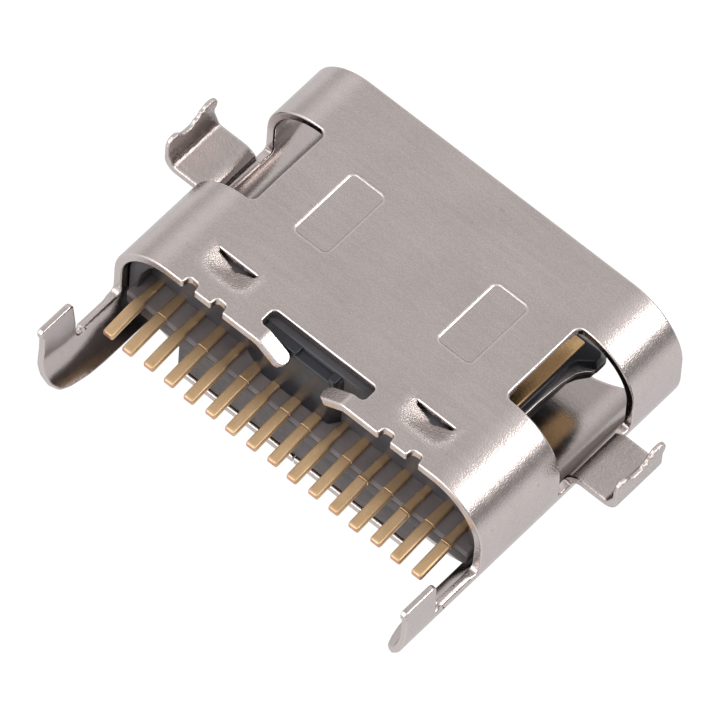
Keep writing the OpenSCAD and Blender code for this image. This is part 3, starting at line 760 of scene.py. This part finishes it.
def contact(i, name, row, place):
    xc, xt = place * PITCH, (i - 7.5) * PITCH - 0.035
    end = (0.02, -0.015, 0.01, 0.0, -0.02, 0.015, -0.01, 0.005)[i % 8]
    ws = (0.38 if abs(place) > 5 else 0.25) / 2
    zs = (Z1 - 0.04) if row > 0 else (Z0 + 0.04)
    th = 0.07
    narrow = (i + 1) in (1, 3, 5, 7, 10, 12, 14, 16)
    wt = 0.118
    # stations: place across, depth, height of the middle, half width, half thickness, lean of the section in the depth plane
    st = [(xc, 1.84, zs, ws - 0.03, th - 0.03, 0), (xc, 1.83, zs, ws - 0.01, th - 0.01, 0), (xc, 1.81, zs, ws, th, 0), (xc, -1.22, zs, ws, th, 0),
          (xt, -1.94, zs, 0.085, th, 0)]
    zt = 1.43
    up_ = 1 if zt > zs else -1
    st += [(xt, -1.99, zs + up_ * 0.01, 0.085, th, up_ * 30), (xt, -2.03, zs + up_ * 0.06, 0.085, th, up_ * 70)]
    st += [(xt, -2.06, zt - up_ * 0.06, 0.085, th, up_ * 70), (xt, -2.10, zt - up_ * 0.01, 0.085, th, up_ * 30)]
    st += [(xt, -2.16, zt, 0.085, th, 0)]
    if narrow:
        w = 0.085
        st += [(xt, -2.40, 1.432, w, th, 0), (xt, -2.44, 1.432, w + 0.012, th, 0), (xt, -2.47, 1.432, w + 0.012, th, 0), (xt, -2.51, 1.430, w, th, 0),
               (xt, -2.74, 1.427, w + 0.008, th, 0), (xt, -2.80, 1.424, w + 0.022, th, 0), (xt, -2.86, 1.420, wt, th, 0)]
    else:
        st += [(xt, -2.30, 1.432, wt - 0.01, th, 0), (xt, -2.70, 1.428, wt, th, 0)]
    if not narrow or i >= 11:
        st += [(xt, -2.765 if not narrow else -2.885, 1.425, wt, th, 0), (xt, -2.775 if not narrow else -2.895, 1.425, wt - 0.012, th - 0.014, 0),
               (xt, -2.795 if not narrow else -2.915, 1.425, wt - 0.012, th - 0.014, 0), (xt, -2.805 if not narrow else -2.925, 1.424, wt, th, 0)]
    st += [(xt, -3.10, 1.400, wt, th, 0), (xt, -3.40, 1.362, wt, th, 0), (xt, -3.64 + end, 1.330, wt, th, 0)]
    for t in (20, 45, 65, 80):
        c_, s_ = math.cos(math.radians(t)), math.sin(math.radians(t))
        st.append((xt, -3.675 + end - 0.045 * s_, 1.326, wt - 0.035 * (1 - c_), th - 0.035 * (1 - c_), 0))
    layers = []
    for x, y, z, w, t, lean in st:
        sec = section(w, t, min(0.045, 0.8 * t), 0.02)
        l = math.radians(lean)
        # the section stands square to the run: its up direction leans with it
        layers.append([(x + a, y + b * math.sin(l), z + b * math.cos(l) * (1 if abs(lean) < 90 else -1)) for a, b in sec])
    v, f = loft(layers)
    f = outward(v, f)
    n = len(layers[0])
    fm = [0] * len(f)
    for k in range((len(layers) - 3) * n, (len(layers) - 1) * n):
        fm[k] = 1
    fm[-1] = 1
    for k in range(4 * n):
        fm[k] = 2
    ob = make("contact_%s_strip" % name, v, f, [GOLD, COPPER, POLISHED], node="contact_" + name, face_mat=fm)
    ob.data.set_sharp_from_angle(angle=math.radians(50))


for i, (name, row, place) in enumerate(ROWS):
    contact(i, name, row, place)

# ---------------------------------------------------------------- stage, light, camera
sc = bpy.context.scene
me = bpy.data.meshes.new("floor")
s = 1.5
me.from_pydata([(-s, -s, -2e-5), (s, -s, -2e-5), (s, s, -2e-5), (-s, s, -2e-5)], [], [(0, 1, 2, 3)])
floor = bpy.data.objects.new("floor", me)
sc.collection.objects.link(floor)
fm, nt, b = node_mat("floor_white")
b.inputs["Base Color"].default_value = (0.06, 0.06, 0.06, 1)
b.inputs["Roughness"].default_value = 0.9
b.inputs["Specular IOR Level"].default_value = 0.0
# the floor glows: painted light that keeps it white and without shadows near the part; far out along +X the glow fades
# to grey, darkening the band that the right round side reflects
b.inputs["Emission Color"].default_value = (1.0, 1.0, 1.0, 1)
b.inputs["Emission Strength"].default_value = 1.0
tc = nt.nodes.new("ShaderNodeTexCoord")
sx = nt.nodes.new("ShaderNodeSeparateXYZ")
fr = nt.nodes.new("ShaderNodeMapRange")
fr.inputs["From Min"].default_value = 0.014
fr.inputs["From Max"].default_value = 0.040
nt.links.new(tc.outputs["Object"], sx.inputs[0])
nt.links.new(sx.outputs["X"], fr.inputs["Value"])
far_glow_fade = nt.nodes.new("ShaderNodeValToRGB")
far_glow_fade.color_ramp.elements[0].color = (0.985, 0.985, 0.985, 1)
far_glow_fade.color_ramp.elements[1].color = (0.42, 0.42, 0.42, 1)
nt.links.new(fr.outputs["Result"], far_glow_fade.inputs["Fac"])
nt.links.new(far_glow_fade.outputs["Color"], b.inputs["Emission Color"])
me.materials.append(fm)

world = bpy.data.worlds.new("studio")
sc.world = world
world.use_nodes = True
wt = world.node_tree
wt.nodes.clear()
out = wt.nodes.new("ShaderNodeOutputWorld")
bg = wt.nodes.new("ShaderNodeBackground")
tc = wt.nodes.new("ShaderNodeTexCoord")
sep = wt.nodes.new("ShaderNodeSeparateXYZ")
wt.links.new(tc.outputs["Generated"], sep.inputs[0])


def sky(stops):
    rm = wt.nodes.new("ShaderNodeValToRGB")
    el = rm.color_ramp.elements
    while len(el) < len(stops):
        el.new(0.5)
    for e_, (p, c) in zip(el, stops):
        e_.position = p
        e_.color = (c, c * 0.985, c * 0.975, 1)
    return rm


left_sky = sky([(0.0, 0.5), (0.50, 0.66), (0.545, 0.66), (0.587, 0.70), (0.629, 0.80), (0.719, 1.02), (0.80, 1.12), (0.86, 1.02), (0.924, 0.71), (1.0, 0.71)])
right_sky = sky([(0.0, 0.4), (0.50, 0.42), (0.525, 0.34), (0.587, 0.28), (0.628, 0.36), (0.655, 0.70), (0.69, 1.15), (0.86, 1.75), (0.924, 1.5), (0.955, 1.3), (1.0, 1.0)])
mr = wt.nodes.new("ShaderNodeMapRange")
mr.inputs["From Min"].default_value = -1
mr.inputs["From Max"].default_value = 1
wt.links.new(sep.outputs["Z"], mr.inputs["Value"])
side = wt.nodes.new("ShaderNodeMapRange")
side.inputs["From Min"].default_value = -0.35
side.inputs["From Max"].default_value = 0.6
wt.links.new(sep.outputs["X"], side.inputs["Value"])
both_sky = wt.nodes.new("ShaderNodeMix")
both_sky.data_type = "RGBA"
wt.links.new(side.outputs["Result"], both_sky.inputs["Factor"])
for r_, key in ((left_sky, "A"), (right_sky, "B")):
    wt.links.new(mr.outputs["Result"], r_.inputs["Fac"])
    wt.links.new(r_.outputs["Color"], both_sky.inputs[key])
wt.links.new(both_sky.outputs["Result"], bg.inputs["Color"])
back = wt.nodes.new("ShaderNodeMapRange")
back.inputs["From Min"].default_value = -0.15
back.inputs["From Max"].default_value = -0.65
back.inputs["To Min"].default_value = 0.0
back.inputs["To Max"].default_value = 1.5
wt.links.new(sep.outputs["Y"], back.inputs["Value"])
left_only = wt.nodes.new("ShaderNodeMapRange")
left_only.inputs["From Min"].default_value = 0.05
left_only.inputs["From Max"].default_value = 0.35
left_only.inputs["To Min"].default_value = 1.0
left_only.inputs["To Max"].default_value = 0.0
wt.links.new(sep.outputs["X"], left_only.inputs["Value"])
more = wt.nodes.new("ShaderNodeMath")
more.operation = "MULTIPLY_ADD"
more.inputs[2].default_value = 1.0
wt.links.new(back.outputs["Result"], more.inputs[0])
wt.links.new(left_only.outputs["Result"], more.inputs[1])
wt.links.new(more.outputs[0], bg.inputs["Strength"])
bg.inputs["Strength"].default_value = 1.0
wt.links.new(bg.outputs[0], out.inputs[0])


def area(name, at, target, size, power, color=(1, 1, 1), size_y=None):
    l = bpy.data.lights.new(name, "AREA")
    l.shape = "RECTANGLE"
    l.size = size
    l.size_y = size_y or size
    l.energy = power
    l.color = color
    o = bpy.data.objects.new(name, l)
    sc.collection.objects.link(o)
    o.location = at
    o.rotation_euler = (Vector(target) - Vector(at)).to_track_quat("-Z", "Y").to_euler()
    return o


# main soft box to the right and behind
d = Vector((0.62, 0.42, 0.615)).normalized()
area("key", tuple(d * 0.6), (0, 0, 0), 0.5, 1.8, (1.0, 0.97, 0.925), 0.155)
d = Vector((-0.34, -0.84, 0.42)).normalized()
area("front_strip", tuple(d * 0.6), (0, 0, 0), 0.20, 0.45, (1.0, 0.99, 0.97), 0.16)

az, el_, ro = (math.radians(v) for v in (37.590, 57.912, 4.530))
ca, sa, ce, se = math.cos(az), math.sin(az), math.cos(el_), math.sin(el_)
Rv, Uv, Dv = Vector((ca, sa, 0)), Vector((-sa * se, ca * se, ce)), Vector((sa * ce, -ca * ce, se))
R2 = math.cos(ro) * Rv + math.sin(ro) * Uv
U2 = -math.sin(ro) * Rv + math.cos(ro) * Uv
target = Vector((0, YS, 1.58)) - 0.685 * R2 - 0.689 * U2
dist = 1 / 0.0033
cam = bpy.data.cameras.new("camera")
cam.sensor_width = 36
cam.lens = 36 * dist / (720 / 54.860)
cam.clip_start = 0.01
cam.clip_end = 10
co = bpy.data.objects.new("camera", cam)
sc.collection.objects.link(co)
m = Matrix((R2, U2, Dv)).transposed().to_4x4()
m.translation = (target + Dv * dist) * MM
co.matrix_world = m
sc.camera = co
sc.view_settings.view_transform = "Standard"
sc.view_settings.look = "None"
